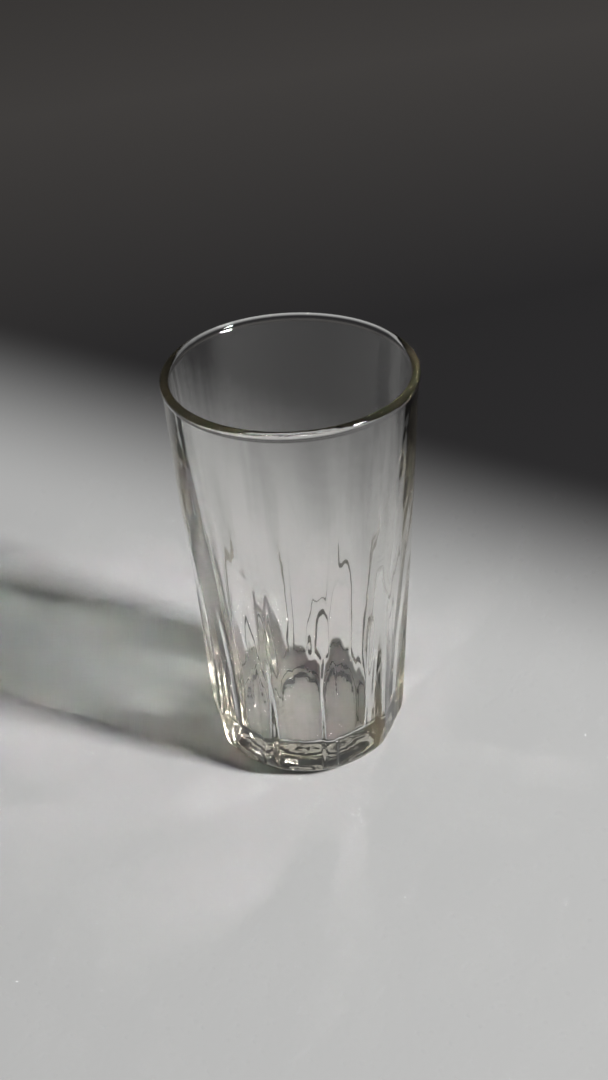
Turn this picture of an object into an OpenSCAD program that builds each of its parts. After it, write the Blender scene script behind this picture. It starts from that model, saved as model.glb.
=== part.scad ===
// Highball tumbler in clear pressed glass, with hollow flutes and rounded ribs round its lower wall.
// The glass is one pressed piece. Its solids are the zones of that piece and meet face to face:
// the base, the fluted wall, the upper wall and the rim.
// The origin is on the table at the middle of the foot, and a flute faces -Y.

/* [Overall] */
// Height from the table to the top of the rim
glass_h = 120; // [100:1:150]
// Outside diameter of the rim
rim_d = 68; // [62:0.5:76]
// Outside diameter of the round wall's taper, carried down to the table
foot_d = 57; // [50:0.5:61]

/* [Rim] */
// Thickness of the rounded bead at the lip
bead_d = 2.5; // [2.3:0.1:3.5]
// How far the bead stands out past the wall under it
bead_out = 0.3; // [0:0.05:0.4]
// Height of the rim zone, with the bead and the wall that it melts into
rim_zone_h = 4; // [3.6:0.1:10]

/* [Wall] */
// Wall thickness at the lip
lip_t = 2; // [1.5:0.1:2]
// Wall thickness at the inside floor, between two flutes
floor_wall_t = 7; // [5.5:0.1:8]

/* [Flutes] */
// Number of flutes
flute_count = 10; // [8:1:12]
// Radius of the hollow across a flute
flute_r = 80; // [40:1:120]
// Depth of a flute where it is deepest
flute_depth = 2.4; // [1.8:0.1:3]
// Height where the flutes are deepest
flute_low_z = 20; // [10:1:30]
// Height where the flutes run out into the round wall
flute_top_z = 76; // [60:1:95]
// Radius of the rounded rib between two flutes
rib_r = 2.4; // [1.6:0.1:3.5]
// Width of the strip of round wall along the top of a rib
rib_top_w = 1.6; // [0.8:0.1:2.4]
// Band of round wall between the flutes' tops and the upper wall
flute_margin = 4; // [2:1:10]

/* [Base] */
// Height of the inside floor's edge above the table
floor_z = 10.5; // [8:0.5:16]
// How far the inside floor dips towards its middle
floor_dip = 0.8; // [0.2:0.1:1.5]
// Radius of the inside corner between the floor and the wall
floor_corner_r = 3.5; // [1:0.5:6]
// Height of wall above the inside corner that counts as base
collar_h = 1; // [0.5:0.5:4]
// Radius of the rounded heel
heel_r = 10; // [4:0.5:11]
// Angle at which the heel leaves the table
heel_lift = 12; // [8:1:20]
// Width of the flat ring that the glass stands on
ring_w = 1; // [0.8:0.1:4]
// Depth of the hollow under the base
hollow_h = 1.8; // [1.4:0.1:3]
// Radius of the hollow's rounded edge
hollow_edge_r = 0.9; // [0.5:0.1:1.2]

/* [Hidden] */
$fn = 96;

clear_glass = [0.86, 0.88, 0.84, 0.45];
rim_r = rim_d / 2;
foot_r = foot_d / 2;
bead_r = bead_d / 2;
bead_z = glass_h - bead_r;
rim_z = glass_h - rim_zone_h;
split_z = flute_top_z + flute_margin;
corner_z = floor_z + floor_corner_r;
base_top_z = corner_z + collar_h;
flute_turn = 360 / flute_count;
spare = 5;
// How far a rounding arc reaches past the lines that it touches, so that they join without a step
overlap = 0.01;

// The round wall outside and inside, as a radius at a height
lip_r = rim_r - bead_out;
function wall_r(z) = foot_r + (lip_r - foot_r) * z / glass_h;
bore_floor_r = wall_r(floor_z) - floor_wall_t;
bore_lip_r = lip_r - lip_t;
bore_rise = glass_h - floor_z;
function bore_r(z) = bore_floor_r + (bore_lip_r - bore_floor_r) * (z - floor_z) / bore_rise;

// A flute is swept along an arc that is parallel to the round wall at flute_low_z and crosses it
// at flute_top_z
wall_lean = atan((lip_r - foot_r) / glass_h);
flute_rise = (flute_top_z - flute_low_z) / cos(wall_lean);
sweep_r = (flute_rise * flute_rise + flute_depth * flute_depth) / (2 * flute_depth);
sweep_in = sweep_r - flute_depth;
sweep_half = asin((split_z + spare - flute_low_z) / sweep_r);

// Centres of the heel's arc, which touches the round wall, and of the inside corner's arc, which
// touches the floor and the bore. The ring that the glass stands on lies inside the heel's arc.
heel_mid_z = heel_r * cos(heel_lift);
heel_mid_x = wall_r(heel_mid_z) - heel_r / cos(wall_lean);
ring_out_r = heel_mid_x + heel_r * sin(heel_lift);
hollow_r = ring_out_r - ring_w - hollow_edge_r;
bore_lean = atan((bore_lip_r - bore_floor_r) / bore_rise);
corner_mid_x = bore_r(corner_z) - floor_corner_r / cos(bore_lean);

// Ball radius that gives a shallow dish its depth over its width
function dish_r(half_w, depth) = (half_w * half_w + depth * depth) / (2 * depth);

// Outline of the inside, from the axis to the bore
module bore_section() {
    corner_mid = [corner_mid_x, corner_z];
    corner_top = corner_mid + floor_corner_r * [cos(bore_lean), -sin(bore_lean)];
    polygon([
        [0, floor_z],
        [corner_mid_x, floor_z],
        corner_top,
        [bore_r(glass_h + spare), glass_h + spare],
        [0, glass_h + spare]
    ]);
    translate(corner_mid)
        circle(floor_corner_r + overlap);
    floor_dish();
}

// Shallow dish of the inside floor
module floor_dish() {
    ball_r = dish_r(corner_mid_x, floor_dip);
    intersection() {
        translate([0, floor_z - floor_dip + ball_r])
            circle(ball_r, $fn = 360);
        translate([0, floor_z - floor_dip])
            square([corner_mid_x, floor_dip]);
    }
}

// Shallow hollow under the base, with a rounded edge beside the ring that the glass stands on
module hollow() {
    ball_r = dish_r(hollow_r, hollow_h - hollow_edge_r);
    intersection() {
        translate([0, hollow_h - ball_r])
            circle(ball_r, $fn = 360);
        translate([0, -spare])
            square([hollow_r + overlap, 2 * spare]);
    }
    translate([hollow_r, 0])
        circle(hollow_edge_r);
}

// Outline of the glass from the axis to the round wall, with the bead, the heel and both hollows
module glass_section() {
    heel_mid = [heel_mid_x, heel_mid_z];
    heel_top = heel_mid + heel_r * [cos(wall_lean), -sin(wall_lean)];
    difference() {
        union() {
            polygon([
                [0, -spare],
                [heel_mid_x, -spare],
                heel_mid,
                heel_top,
                [wall_r(bead_z), bead_z],
                [0, bead_z]
            ]);
            translate(heel_mid)
                circle(heel_r + overlap);
        }
        bore_section();
        hollow();
    }
    translate([rim_r - bead_r, bead_z])
        circle(bead_r);
}

// One zone of the glass between two heights
module zone(low_z, high_z) {
    rotate_extrude()
        intersection() {
            glass_section();
            translate([0, low_z])
                square([rim_r + spare, high_z - low_z]);
        }
}

// Rounded ribs between the flutes, leaning with the round wall and just cutting through it
module ribs() {
    sink = sqrt(rib_r * rib_r - rib_top_w * rib_top_w / 4) / cos(wall_lean);
    for (i = [0 : flute_count - 1])
        rotate([0, 0, -90 + (i + 0.5) * flute_turn])
            translate([foot_r - sink, 0, 0])
                rotate([0, wall_lean, 0])
                    translate([0, 0, -spare])
                        cylinder(h = split_z + 2 * spare, r = rib_r);
}

// All the flutes, as the space to take away between the ribs. The swept circle starts on the side
// away from the glass.
module flutes() {
    mid_x = wall_r(flute_low_z) + sweep_in * cos(wall_lean);
    mid_z = flute_low_z - sweep_in * sin(wall_lean);
    difference() {
        for (i = [0 : flute_count - 1])
            rotate([0, 0, -90 + i * flute_turn])
                translate([mid_x, 0, mid_z])
                    rotate([90, 0, 0])
                        rotate([0, 0, 180 - wall_lean - sweep_half])
                            rotate_extrude(angle = 2 * sweep_half, $fn = 256)
                                translate([sweep_r - flute_r, 0])
                                    rotate(180)
                                        circle(flute_r, $fn = 180);
        ribs();
    }
}

// Thick base with the inside floor and its corner, the rounded heel and the hollow underside
module base() {
    color(clear_glass)
        difference() {
            zone(0, base_top_z);
            flutes();
        }
}

// Lower wall, flutes and ribs outside and a smooth bore inside
module fluted_wall() {
    color(clear_glass)
        difference() {
            zone(base_top_z, split_z);
            flutes();
        }
}

// Plain round wall above the flutes
module upper_wall() {
    color(clear_glass)
        zone(split_z, rim_z);
}

// Fire-polished bead round the mouth
module rim() {
    color(clear_glass)
        zone(rim_z, glass_h);
}

base();
fluted_wall();
upper_wall();
rim();
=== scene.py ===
"""Highball tumbler in clear pressed glass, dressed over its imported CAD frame."""
import math

import bpy
import numpy as np
from mathutils import Matrix, Vector, noise


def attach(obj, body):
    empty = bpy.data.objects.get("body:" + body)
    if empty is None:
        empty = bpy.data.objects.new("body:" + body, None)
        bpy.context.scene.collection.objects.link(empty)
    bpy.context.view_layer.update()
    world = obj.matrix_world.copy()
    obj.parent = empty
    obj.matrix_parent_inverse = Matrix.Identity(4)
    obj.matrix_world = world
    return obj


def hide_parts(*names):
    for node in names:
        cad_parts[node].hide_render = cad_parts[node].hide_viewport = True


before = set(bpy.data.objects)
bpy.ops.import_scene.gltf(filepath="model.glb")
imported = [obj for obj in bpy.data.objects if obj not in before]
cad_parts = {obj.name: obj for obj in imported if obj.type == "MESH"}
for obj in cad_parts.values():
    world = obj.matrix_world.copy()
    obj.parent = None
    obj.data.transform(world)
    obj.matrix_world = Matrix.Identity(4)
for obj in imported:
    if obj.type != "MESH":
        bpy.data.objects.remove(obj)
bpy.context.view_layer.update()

# Sizes of the tumbler in millimetres, as the CAD has them
glass_h = 120.0
rim_r = 34.0
foot_r = 28.5
bead_r = 1.25
bead_out = 0.3
lip_t = 2.0
floor_wall_t = 7.0
flute_count = 10
flute_r = 80.0
flute_depth = 2.4
flute_low_z = 20.0
flute_top_z = 76.0
flute_margin = 4.0
rib_r = 2.4
rib_top_w = 1.6
floor_z = 10.5
floor_dip = 0.8
floor_corner_r = 3.5
heel_r = 10.0
heel_lift = math.radians(12)
ring_w = 1.0
hollow_h = 1.8
hollow_edge_r = 0.9
mm = 0.001

# How softly fire polishing leaves the edges, in millimetres: beside a rib, and where a flute meets
# the round wall
rib_blend = 0.3
arch_blend = 1.2

# Ripples that pressing leaves in the skin, in millimetres: width round the glass, length up it, and
# height inside and outside. They grow from nothing at the table up to still_z, are at their highest
# up to calm_low_z, and are down to calm_share of that from calm_top_z upwards. The inside's ripples
# lie ripple_apart lengths off in the noise, so that they don't repeat the outside's.
ripple_w = 1.8
ripple_l = 60.0
ripple_in_h = 0.2
ripple_out_h = 0.08
still_z = 2.0
calm_low_z = 35.0
calm_top_z = 80.0
calm_share = 0.15
ripple_apart = 9.5

# Rings that the turned bottom plate of the mould leaves in the hollow, in millimetres: from one to
# the next, and height. They grow from nothing in the middle and die out at the hollow's edge, so the
# highest, 12 mm out, has about 0.4.
turned_w = 12.0
turned_h = 0.65
turned_fade = 10

# Where the bead's round section ends outside and inside, in degrees below its middle, and how far
# under the middle it has melted into the wall, in bead radii
bead_end = 32.0
inner_end = 8.0
neck_drop = 1.2
# How far the ends of the bend into the wall pull, as a share of the way between them
bend_pull = 0.4

# Steps of the mesh along each stretch of the skin, from under the base, up, over the rim and down
hollow_steps = 30
hollow_edge_steps = 7
ring_steps = 3
heel_steps = 29
fluted_steps = 69
upper_steps = 15
neck_steps = 5
bead_steps = 25
bore_steps = 43
corner_steps = 17
floor_steps = 24

lip_r = rim_r - bead_out
bead_x = rim_r - bead_r
bead_z = glass_h - bead_r
neck_z = bead_z - neck_drop * bead_r
split_z = flute_top_z + flute_margin
wall_slope = (lip_r - foot_r) / glass_h
wall_lean = math.atan(wall_slope)
bore_floor_r = foot_r + wall_slope * floor_z - floor_wall_t
bore_slope = (lip_r - lip_t - bore_floor_r) / (glass_h - floor_z)
bore_lean = math.atan(bore_slope)
heel_mid_z = heel_r * math.cos(heel_lift)
heel_mid_x = foot_r + wall_slope * heel_mid_z - heel_r / math.cos(wall_lean)
ring_out_r = heel_mid_x + heel_r * math.sin(heel_lift)
hollow_r = ring_out_r - ring_w - hollow_edge_r

# Columns of the mesh round the glass, crowded towards the ribs between the flutes. A flute faces -Y.
columns_per_flute = 36
crowding = 0.17
flute_turn = 2 * math.pi / flute_count
across = np.linspace(-1, 1, columns_per_flute, endpoint=False)
across_turn = flute_turn / 2 * (across + crowding * np.sin(math.pi * across))
from_flute_mid = np.tile(across_turn, flute_count)
around = from_flute_mid + np.repeat(np.arange(flute_count) * flute_turn, columns_per_flute)


def wall_r(z):
    return foot_r + wall_slope * z


def bore_r(z):
    return bore_floor_r + bore_slope * (z - floor_z)


def soft_min(a, b, blend):
    """The lesser of two radii, with the corner between them rounded over about the blend."""
    share = np.clip(0.5 + 0.5 * (b - a) / blend, 0, 1)
    return b * (1 - share) + a * share - blend * share * (1 - share)


def flute_floor_r(z):
    """Distance of a flute's middle line from the axis: an arc, parallel to the wall at flute_low_z."""
    rise = (flute_top_z - flute_low_z) / math.cos(wall_lean)
    sweep_r = (rise ** 2 + flute_depth ** 2) / (2 * flute_depth)
    mid_x = wall_r(flute_low_z) + (sweep_r - flute_depth) * math.cos(wall_lean)
    mid_z = flute_low_z - (sweep_r - flute_depth) * math.sin(wall_lean)
    return mid_x - np.sqrt(sweep_r ** 2 - (z - mid_z) ** 2)


def outside_r(z, round_r):
    """Radius of the outside all the way round, where the turned form alone has round_r."""
    reach = flute_floor_r(z) + flute_r
    flute = (reach * np.cos(from_flute_mid)
             - np.sqrt(flute_r ** 2 - (reach * np.sin(from_flute_mid)) ** 2))
    turn_to_rib = flute_turn / 2 - np.abs(from_flute_mid)
    rib_mid_r = wall_r(z) - math.sqrt(rib_r ** 2 - rib_top_w ** 2 / 4)
    inside = rib_r ** 2 - (rib_mid_r * np.sin(turn_to_rib)) ** 2
    rib_skin_r = rib_mid_r * np.cos(turn_to_rib) + np.sqrt(np.maximum(inside, 0))
    rib = np.where(inside > 0, rib_skin_r, 0)
    fluted = -soft_min(-flute, -rib, rib_blend)
    return soft_min(fluted, round_r, arch_blend)


def after_start(start, end, steps):
    """Even steps from a start, left out, to an end."""
    return np.linspace(start, end, steps + 1)[1:]


def dish(half_w, depth, steps):
    """Radii from the middle out and heights above the rim of a shallow round dish."""
    ball_r = (half_w ** 2 + depth ** 2) / (2 * depth)
    radii = after_start(0, half_w, steps)
    return radii, np.sqrt(ball_r ** 2 - radii ** 2) - (ball_r - depth)


def bend(start, way_out, end, way_in):
    """Points of a smooth curve between two places, without the two ends."""
    pull = bend_pull * np.linalg.norm(end - start)
    for t in np.linspace(0, 1, neck_steps + 2)[1:-1]:
        s = 1 - t
        yield (s ** 3 * start + 3 * s * s * t * (start + pull * way_out)
               + 3 * s * t * t * (end - pull * way_in) + t ** 3 * end)


def on_bead(degrees):
    """A place on the bead's round section, and the way along it there."""
    turn = math.radians(degrees)
    place = np.array([bead_x + bead_r * math.cos(turn), bead_z + bead_r * math.sin(turn)])
    return place, np.array([-math.sin(turn), math.cos(turn)])


def underside_rings():
    """The hollow with its turned rings, its rounded edge, and the ring that the glass stands on."""
    for radius, height in zip(*dish(hollow_r, hollow_h - hollow_edge_r, hollow_steps)):
        share = radius / hollow_r
        wave = math.cos(2 * math.pi * radius / turned_w)
        turned = turned_h * share * (1 - share ** turned_fade) * wave
        yield radius, height + hollow_edge_r + turned
    for turn in after_start(0, math.pi / 2, hollow_edge_steps):
        yield hollow_r + hollow_edge_r * math.sin(turn), hollow_edge_r * math.cos(turn)
    for radius in after_start(ring_out_r - ring_w, ring_out_r, ring_steps):
        yield radius, 0.0


def outside_rings():
    """The heel, the fluted wall and the round wall above it."""
    for turn in after_start(heel_lift - math.pi / 2, -wall_lean, heel_steps):
        height = heel_mid_z + heel_r * math.sin(turn)
        yield outside_r(height, heel_mid_x + heel_r * math.cos(turn)), height
    wall_start_z = heel_mid_z - heel_r * math.sin(wall_lean)
    for height in after_start(wall_start_z, split_z, fluted_steps):
        yield outside_r(height, wall_r(height)), height
    for height in after_start(split_z, neck_z, upper_steps):
        yield outside_r(height, wall_r(height)), height


def rim_rings():
    """The bead and the bends that melt it into the wall outside and inside."""
    outer, outer_way = on_bead(-bead_end)
    wall_end = np.array([wall_r(neck_z), neck_z])
    yield from bend(wall_end, np.array([wall_slope, 1.0]), outer, outer_way)
    for degrees in np.linspace(-bead_end, 180 + inner_end, bead_steps + 1):
        yield on_bead(degrees)[0]
    inner, inner_way = on_bead(180 + inner_end)
    bore_end = np.array([bore_r(neck_z), neck_z])
    yield from bend(inner, inner_way, bore_end, np.array([-bore_slope, -1.0]))


def inside_rings():
    """The bore, the corner at its foot and the dished floor."""
    corner_z = floor_z + floor_corner_r
    corner_x = bore_r(corner_z) - floor_corner_r / math.cos(bore_lean)
    bore_low_z = corner_z - floor_corner_r * math.sin(bore_lean)
    for height in np.linspace(neck_z, bore_low_z, bore_steps + 1):
        yield bore_r(height), height
    for turn in after_start(-bore_lean, -math.pi / 2, corner_steps):
        yield corner_x + floor_corner_r * math.cos(turn), corner_z + floor_corner_r * math.sin(turn)
    radii, lifts = dish(corner_x, floor_dip, floor_steps)
    for radius, lift in zip(radii[-2::-1], lifts[-2::-1]):
        yield radius, floor_z - lift


def rippled(radii, heights):
    """Radii and heights of the skin with its ripples."""
    out, up = np.gradient(radii, axis=0), np.gradient(heights, axis=0)
    step = np.hypot(out, up)
    inside = np.arange(len(radii)) > heights[:, 0].argmax()
    wide = np.stack([radii * np.sin(around), radii * np.cos(around)], -1) / ripple_w
    tall = heights / ripple_l + inside[:, None] * ripple_apart
    wave = np.array([noise.noise((x, y, z))
                     for (x, y), z in zip(wide.reshape(-1, 2), tall.ravel())])
    lift = wave.reshape(radii.shape) * np.where(inside, ripple_in_h, ripple_out_h)[:, None]
    lift = lift * np.clip(heights / still_z, 0, 1)
    lift = lift * np.clip((calm_top_z - heights) / (calm_top_z - calm_low_z), calm_share, 1)
    return radii + lift * up / step, heights - lift * out / step


def tumbler_piece():
    """The whole glass as one closed skin."""
    rings = [np.broadcast_arrays(radius, height, around)[:2]
             for stretch in (underside_rings, outside_rings, rim_rings, inside_rings)
             for radius, height in stretch()]
    radii, heights = rippled(np.array([ring[0] for ring in rings]),
                             np.array([ring[1] for ring in rings]))
    skin = np.stack([radii * np.sin(around), -radii * np.cos(around), heights], -1).reshape(-1, 3)
    poles = np.array([[0, 0, hollow_h], [0, 0, floor_z - floor_dip]])
    places = np.vstack([skin, poles]) * mm
    count = len(around)
    here = np.arange(count)
    after = (here + 1) % count
    low = np.arange(len(rings) - 1)[:, None] * count
    high = low + count
    quads = np.stack([low + here, low + after, high + after, high + here], -1).reshape(-1, 4)
    last = (len(rings) - 1) * count
    under_fan = np.stack([np.full(count, len(skin)), after, here], -1)
    floor_fan = np.stack([np.full(count, len(skin) + 1), last + here, last + after], -1)
    faces = quads.tolist() + under_fan.tolist() + floor_fan.tolist()
    mesh = bpy.data.meshes.new("glass_tumbler")
    mesh.from_pydata(places.tolist(), [], faces)
    mesh.polygons.foreach_set("use_smooth", np.ones(len(mesh.polygons), bool))
    piece = bpy.data.objects.new("glass_tumbler", mesh)
    bpy.context.collection.objects.link(piece)
    return piece


def linear(hex_colour):
    """An sRGB hex colour as linear red, green, blue and alpha."""
    parts = [int(hex_colour[i:i + 2], 16) / 255 for i in (1, 3, 5)]
    return [c / 12.92 if c <= 0.04045 else ((c + 0.055) / 1.055) ** 2.4 for c in parts] + [1.0]


def add_node(tree, kind, settings=None, **inputs):
    """Adds a node, sets its properties and fills or links its inputs by name."""
    node = tree.nodes.new(kind)
    for name, value in (settings or {}).items():
        setattr(node, name, value)
    for name, value in inputs.items():
        socket = node.inputs[int(name[1:]) if name[1:].isdigit() else name.replace("_", " ")]
        if isinstance(value, bpy.types.NodeSocket):
            tree.links.new(value, socket)
        else:
            socket.default_value = value
    return node


def empty_material(name):
    material = bpy.data.materials.new(name)
    material.use_nodes = True
    material.node_tree.nodes.clear()
    return material, material.node_tree


# The glass: the colour of its tint, how dense the tint is to the metre, and how strongly light bends
tint_colour = "#c4bda6"
tint_density = 20.0
glass_ior = 1.52
# Ripples that the mould leaves: 140 to the metre, so about 7 mm across, and their height in metres
mould_ripples = 140.0
mould_ripple_h = 0.00004
# Chatter that the mould's cutter left across the lower wall, 5 mm long and 1.6 mm from mark to mark:
# marks to the metre, height in metres, and the heights in metres between which it fades out
chatter_marks = (200.0, 200.0, 620.0)
chatter_h = 0.00001
chatter_low_z, chatter_top_z = 0.03, 0.06


def pressed_soda_lime_glass():
    """Soda-lime glass, pressed and fire polished: clear and bright, a little wavy, faintly olive
    where it is thick."""
    material, tree = empty_material("pressed_soda_lime_glass")
    place = add_node(tree, "ShaderNodeTexCoord").outputs["Object"]
    ripple = add_node(tree, "ShaderNodeTexNoise", Vector=place, Scale=mould_ripples, Detail=1.0)
    bump = add_node(tree, "ShaderNodeBump", Height=ripple.outputs["Fac"], Strength=1.0,
                    Distance=mould_ripple_h)
    marks = add_node(tree, "ShaderNodeMapping", Vector=place, Scale=chatter_marks)
    chatter = add_node(tree, "ShaderNodeTexNoise", Vector=marks.outputs["Vector"], Scale=1.0,
                       Detail=1.0)
    height = add_node(tree, "ShaderNodeSeparateXYZ", Vector=place)
    low = add_node(tree, "ShaderNodeMapRange", Value=height.outputs["Z"], From_Min=chatter_low_z,
                   From_Max=chatter_top_z, To_Min=1.0, To_Max=0.0)
    faded = add_node(tree, "ShaderNodeMath", {"operation": "MULTIPLY"}, _0=chatter.outputs["Fac"],
                     _1=low.outputs["Result"])
    bump = add_node(tree, "ShaderNodeBump", Height=faded.outputs["Value"], Strength=1.0,
                    Distance=chatter_h, Normal=bump.outputs["Normal"])
    glass = add_node(tree, "ShaderNodeBsdfPrincipled", Base_Color=linear("#ffffff"), Roughness=0.0,
                     IOR=glass_ior, Transmission_Weight=1.0, Normal=bump.outputs["Normal"])
    tint = add_node(tree, "ShaderNodeVolumeAbsorption", Color=linear(tint_colour),
                    Density=tint_density)
    add_node(tree, "ShaderNodeOutputMaterial", Surface=glass.outputs["BSDF"],
             Volume=tint.outputs["Volume"])
    return material


# The board's pale paint under the glass, and the painted shadow that turns it charcoal beyond the
# glass and a little lighter far off
pale_paint = "#c6c6c5"
painted_shadow_colour = "#2b2a2b"
far_painted_shadow_colour = "#524f4d"
paint_roughness = 0.85
paint_shine = 0.15
# Roller stipple: 500 bumps to the metre, so about 2 mm apart, and their height in metres
stipple_bumps = 500.0
stipple_h = 0.0002
stipple_strength = 0.15


def board_with_painted_shadow():
    """Painted board, rolled and matt: pale under the glass, with a painted charcoal shadow beyond it
    that is a little lighter far off."""
    material, tree = empty_material("board_with_painted_shadow")
    place = add_node(tree, "ShaderNodeTexCoord").outputs["Object"]
    away = add_node(tree, "ShaderNodeVectorMath", {"operation": "DOT_PRODUCT"}, _0=place,
                    _1=painted_shadow_way)
    in_painted_shadow = add_node(tree, "ShaderNodeMapRange", {"interpolation_type": "SMOOTHSTEP"},
                    Value=away.outputs["Value"], From_Min=painted_shadow_start, From_Max=painted_shadow_end)
    far = add_node(tree, "ShaderNodeVectorMath", {"operation": "DOT_PRODUCT"}, _0=place, _1=shadow_lift_way)
    shadow_lift = add_node(tree, "ShaderNodeMapRange", Value=far.outputs["Value"], From_Min=shadow_lift_start,
                       From_Max=shadow_lift_end)
    # Painted shadow: charcoal beyond the glass, a little lighter far off, mixed over the pale paint
    shadow_paint = add_node(tree, "ShaderNodeMix", {"data_type": "RGBA"},
                        Factor=shadow_lift.outputs["Result"])
    shadow_paint.inputs["A"].default_value = linear(painted_shadow_colour)
    shadow_paint.inputs["B"].default_value = linear(far_painted_shadow_colour)
    paint = add_node(tree, "ShaderNodeMix", {"data_type": "RGBA"}, Factor=in_painted_shadow.outputs["Result"])
    paint.inputs["A"].default_value = linear(pale_paint)
    tree.links.new(shadow_paint.outputs["Result"], paint.inputs["B"])
    stipple = add_node(tree, "ShaderNodeTexNoise", Vector=place, Scale=stipple_bumps, Detail=2.0)
    bump = add_node(tree, "ShaderNodeBump", Height=stipple.outputs["Fac"],
                    Strength=stipple_strength, Distance=stipple_h)
    board = add_node(tree, "ShaderNodeBsdfPrincipled", Base_Color=paint.outputs["Result"],
                     Roughness=paint_roughness, Specular_IOR_Level=paint_shine,
                     Normal=bump.outputs["Normal"])
    add_node(tree, "ShaderNodeOutputMaterial", Surface=board.outputs["BSDF"])
    return material


# Camera: the photo's view, a little to the right of one flute's middle and 35 degrees above the table
view_turn = math.radians(6)
view_rise = math.radians(35)
view_roll = math.radians(3.17)
view_distance = 0.423
view_aim_z = 0.06
focal_px = 1500.0
image_w, image_h = 608, 1080
aim_px = (300.15, 557.7)
sensor_mm = 36

view_right = Vector((math.cos(view_turn), math.sin(view_turn), 0))
view_away = Vector((-math.sin(view_turn), math.cos(view_turn), 0))


def seen(right, away, up):
    """A place given as metres to the right of, beyond and above the glass as the camera sees it."""
    return view_right * right + view_away * away + Vector((0, 0, up))


def photo_camera():
    back = seen(0, -math.cos(view_rise), math.sin(view_rise))
    up = back.cross(view_right)
    rolled_right = view_right * math.cos(view_roll) - up * math.sin(view_roll)
    rolled_up = view_right * math.sin(view_roll) + up * math.cos(view_roll)
    facing = Matrix((rolled_right, rolled_up, back)).transposed()
    aim = Vector((aim_px[0] - image_w / 2, image_h / 2 - aim_px[1], -focal_px)).normalized()
    turn = (facing @ aim).rotation_difference(-back).to_matrix()
    place = seen(0, 0, view_aim_z) + back * view_distance
    camera = bpy.data.objects.new("photo_camera", bpy.data.cameras.new("photo_camera"))
    camera.matrix_world = Matrix.Translation(place) @ (turn @ facing).to_4x4()
    camera.data.sensor_width = sensor_mm
    camera.data.lens = focal_px * sensor_mm / image_h
    camera.data.clip_start = 0.01
    bpy.context.collection.objects.link(camera)
    bpy.context.scene.camera = camera


# The lamp: to the right of the glass and a little on the camera's side, in metres and watts
key_turn, key_rise, key_far = math.radians(118), math.radians(38), 3.0
key_size, key_watts = 0.44, 34.0
key_beam = math.radians(100)
key_aim_z = 0.05


def soft_lamp():
    """A square studio lamp with a grid that narrows its beam, facing the glass."""
    place = seen(math.sin(key_turn) * math.cos(key_rise) * key_far,
                 math.cos(key_turn) * math.cos(key_rise) * key_far,
                 math.sin(key_rise) * key_far)
    lamp = bpy.data.objects.new("key_lamp", bpy.data.lights.new("key_lamp", "AREA"))
    lamp.data.shape = "SQUARE"
    lamp.data.size = key_size
    lamp.data.spread = key_beam
    lamp.data.energy = key_watts
    lamp.location = place
    lamp.rotation_mode = "QUATERNION"
    lamp.rotation_quaternion = (place - Vector((0, 0, key_aim_z))).to_track_quat("Z", "Y")
    bpy.context.collection.objects.link(lamp)


# Where the painted shadow turns the board from pale to charcoal, beyond the glass and sooner on the
# right,
#  and where the painted shadow grows lighter, in metres along each way
painted_shadow_way = tuple(seen(0.55, 0.83, 0))
painted_shadow_start, painted_shadow_end = 0.05, 0.17
shadow_lift_way = tuple(seen(-0.3, 0.95, 0))
shadow_lift_start, shadow_lift_end = 0.24, 0.6

# Half the board's side, in metres. The glass stands a hair above it, as on a few high points of its
# ring.
board_half = 3
air_gap = 0.00005

board_mesh = bpy.data.meshes.new("board")
board_corners = [(-board_half, -board_half, 0), (board_half, -board_half, 0),
                 (board_half, board_half, 0), (-board_half, board_half, 0)]
board_mesh.from_pydata(board_corners, [], [(0, 1, 2, 3)])
board = bpy.data.objects.new("board", board_mesh)
board.location.z = -air_gap
bpy.context.collection.objects.link(board)
board_mesh.materials.append(board_with_painted_shadow())

tumbler = tumbler_piece()
tumbler.data.materials.append(pressed_soda_lime_glass())
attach(tumbler, "root")
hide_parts("base", "fluted_wall", "upper_wall", "rim")

photo_camera()
soft_lamp()

# A dim grey studio, and bounces enough for light that runs on inside the wall
studio_colour = "#2c2d2e"
light_bounces = 24
scene = bpy.context.scene
scene.world = bpy.data.worlds.new("studio")
scene.world.use_nodes = True
studio = scene.world.node_tree.nodes["Background"]
studio.inputs["Color"].default_value = linear(studio_colour)
studio.inputs["Strength"].default_value = 1.0
scene.view_settings.view_transform = "Standard"
scene.cycles.max_bounces = light_bounces
scene.cycles.transmission_bounces = light_bounces
scene.cycles.glossy_bounces = light_bounces
scene.cycles.blur_glossy = 0.0
scene.cycles.sample_clamp_indirect = 0.0
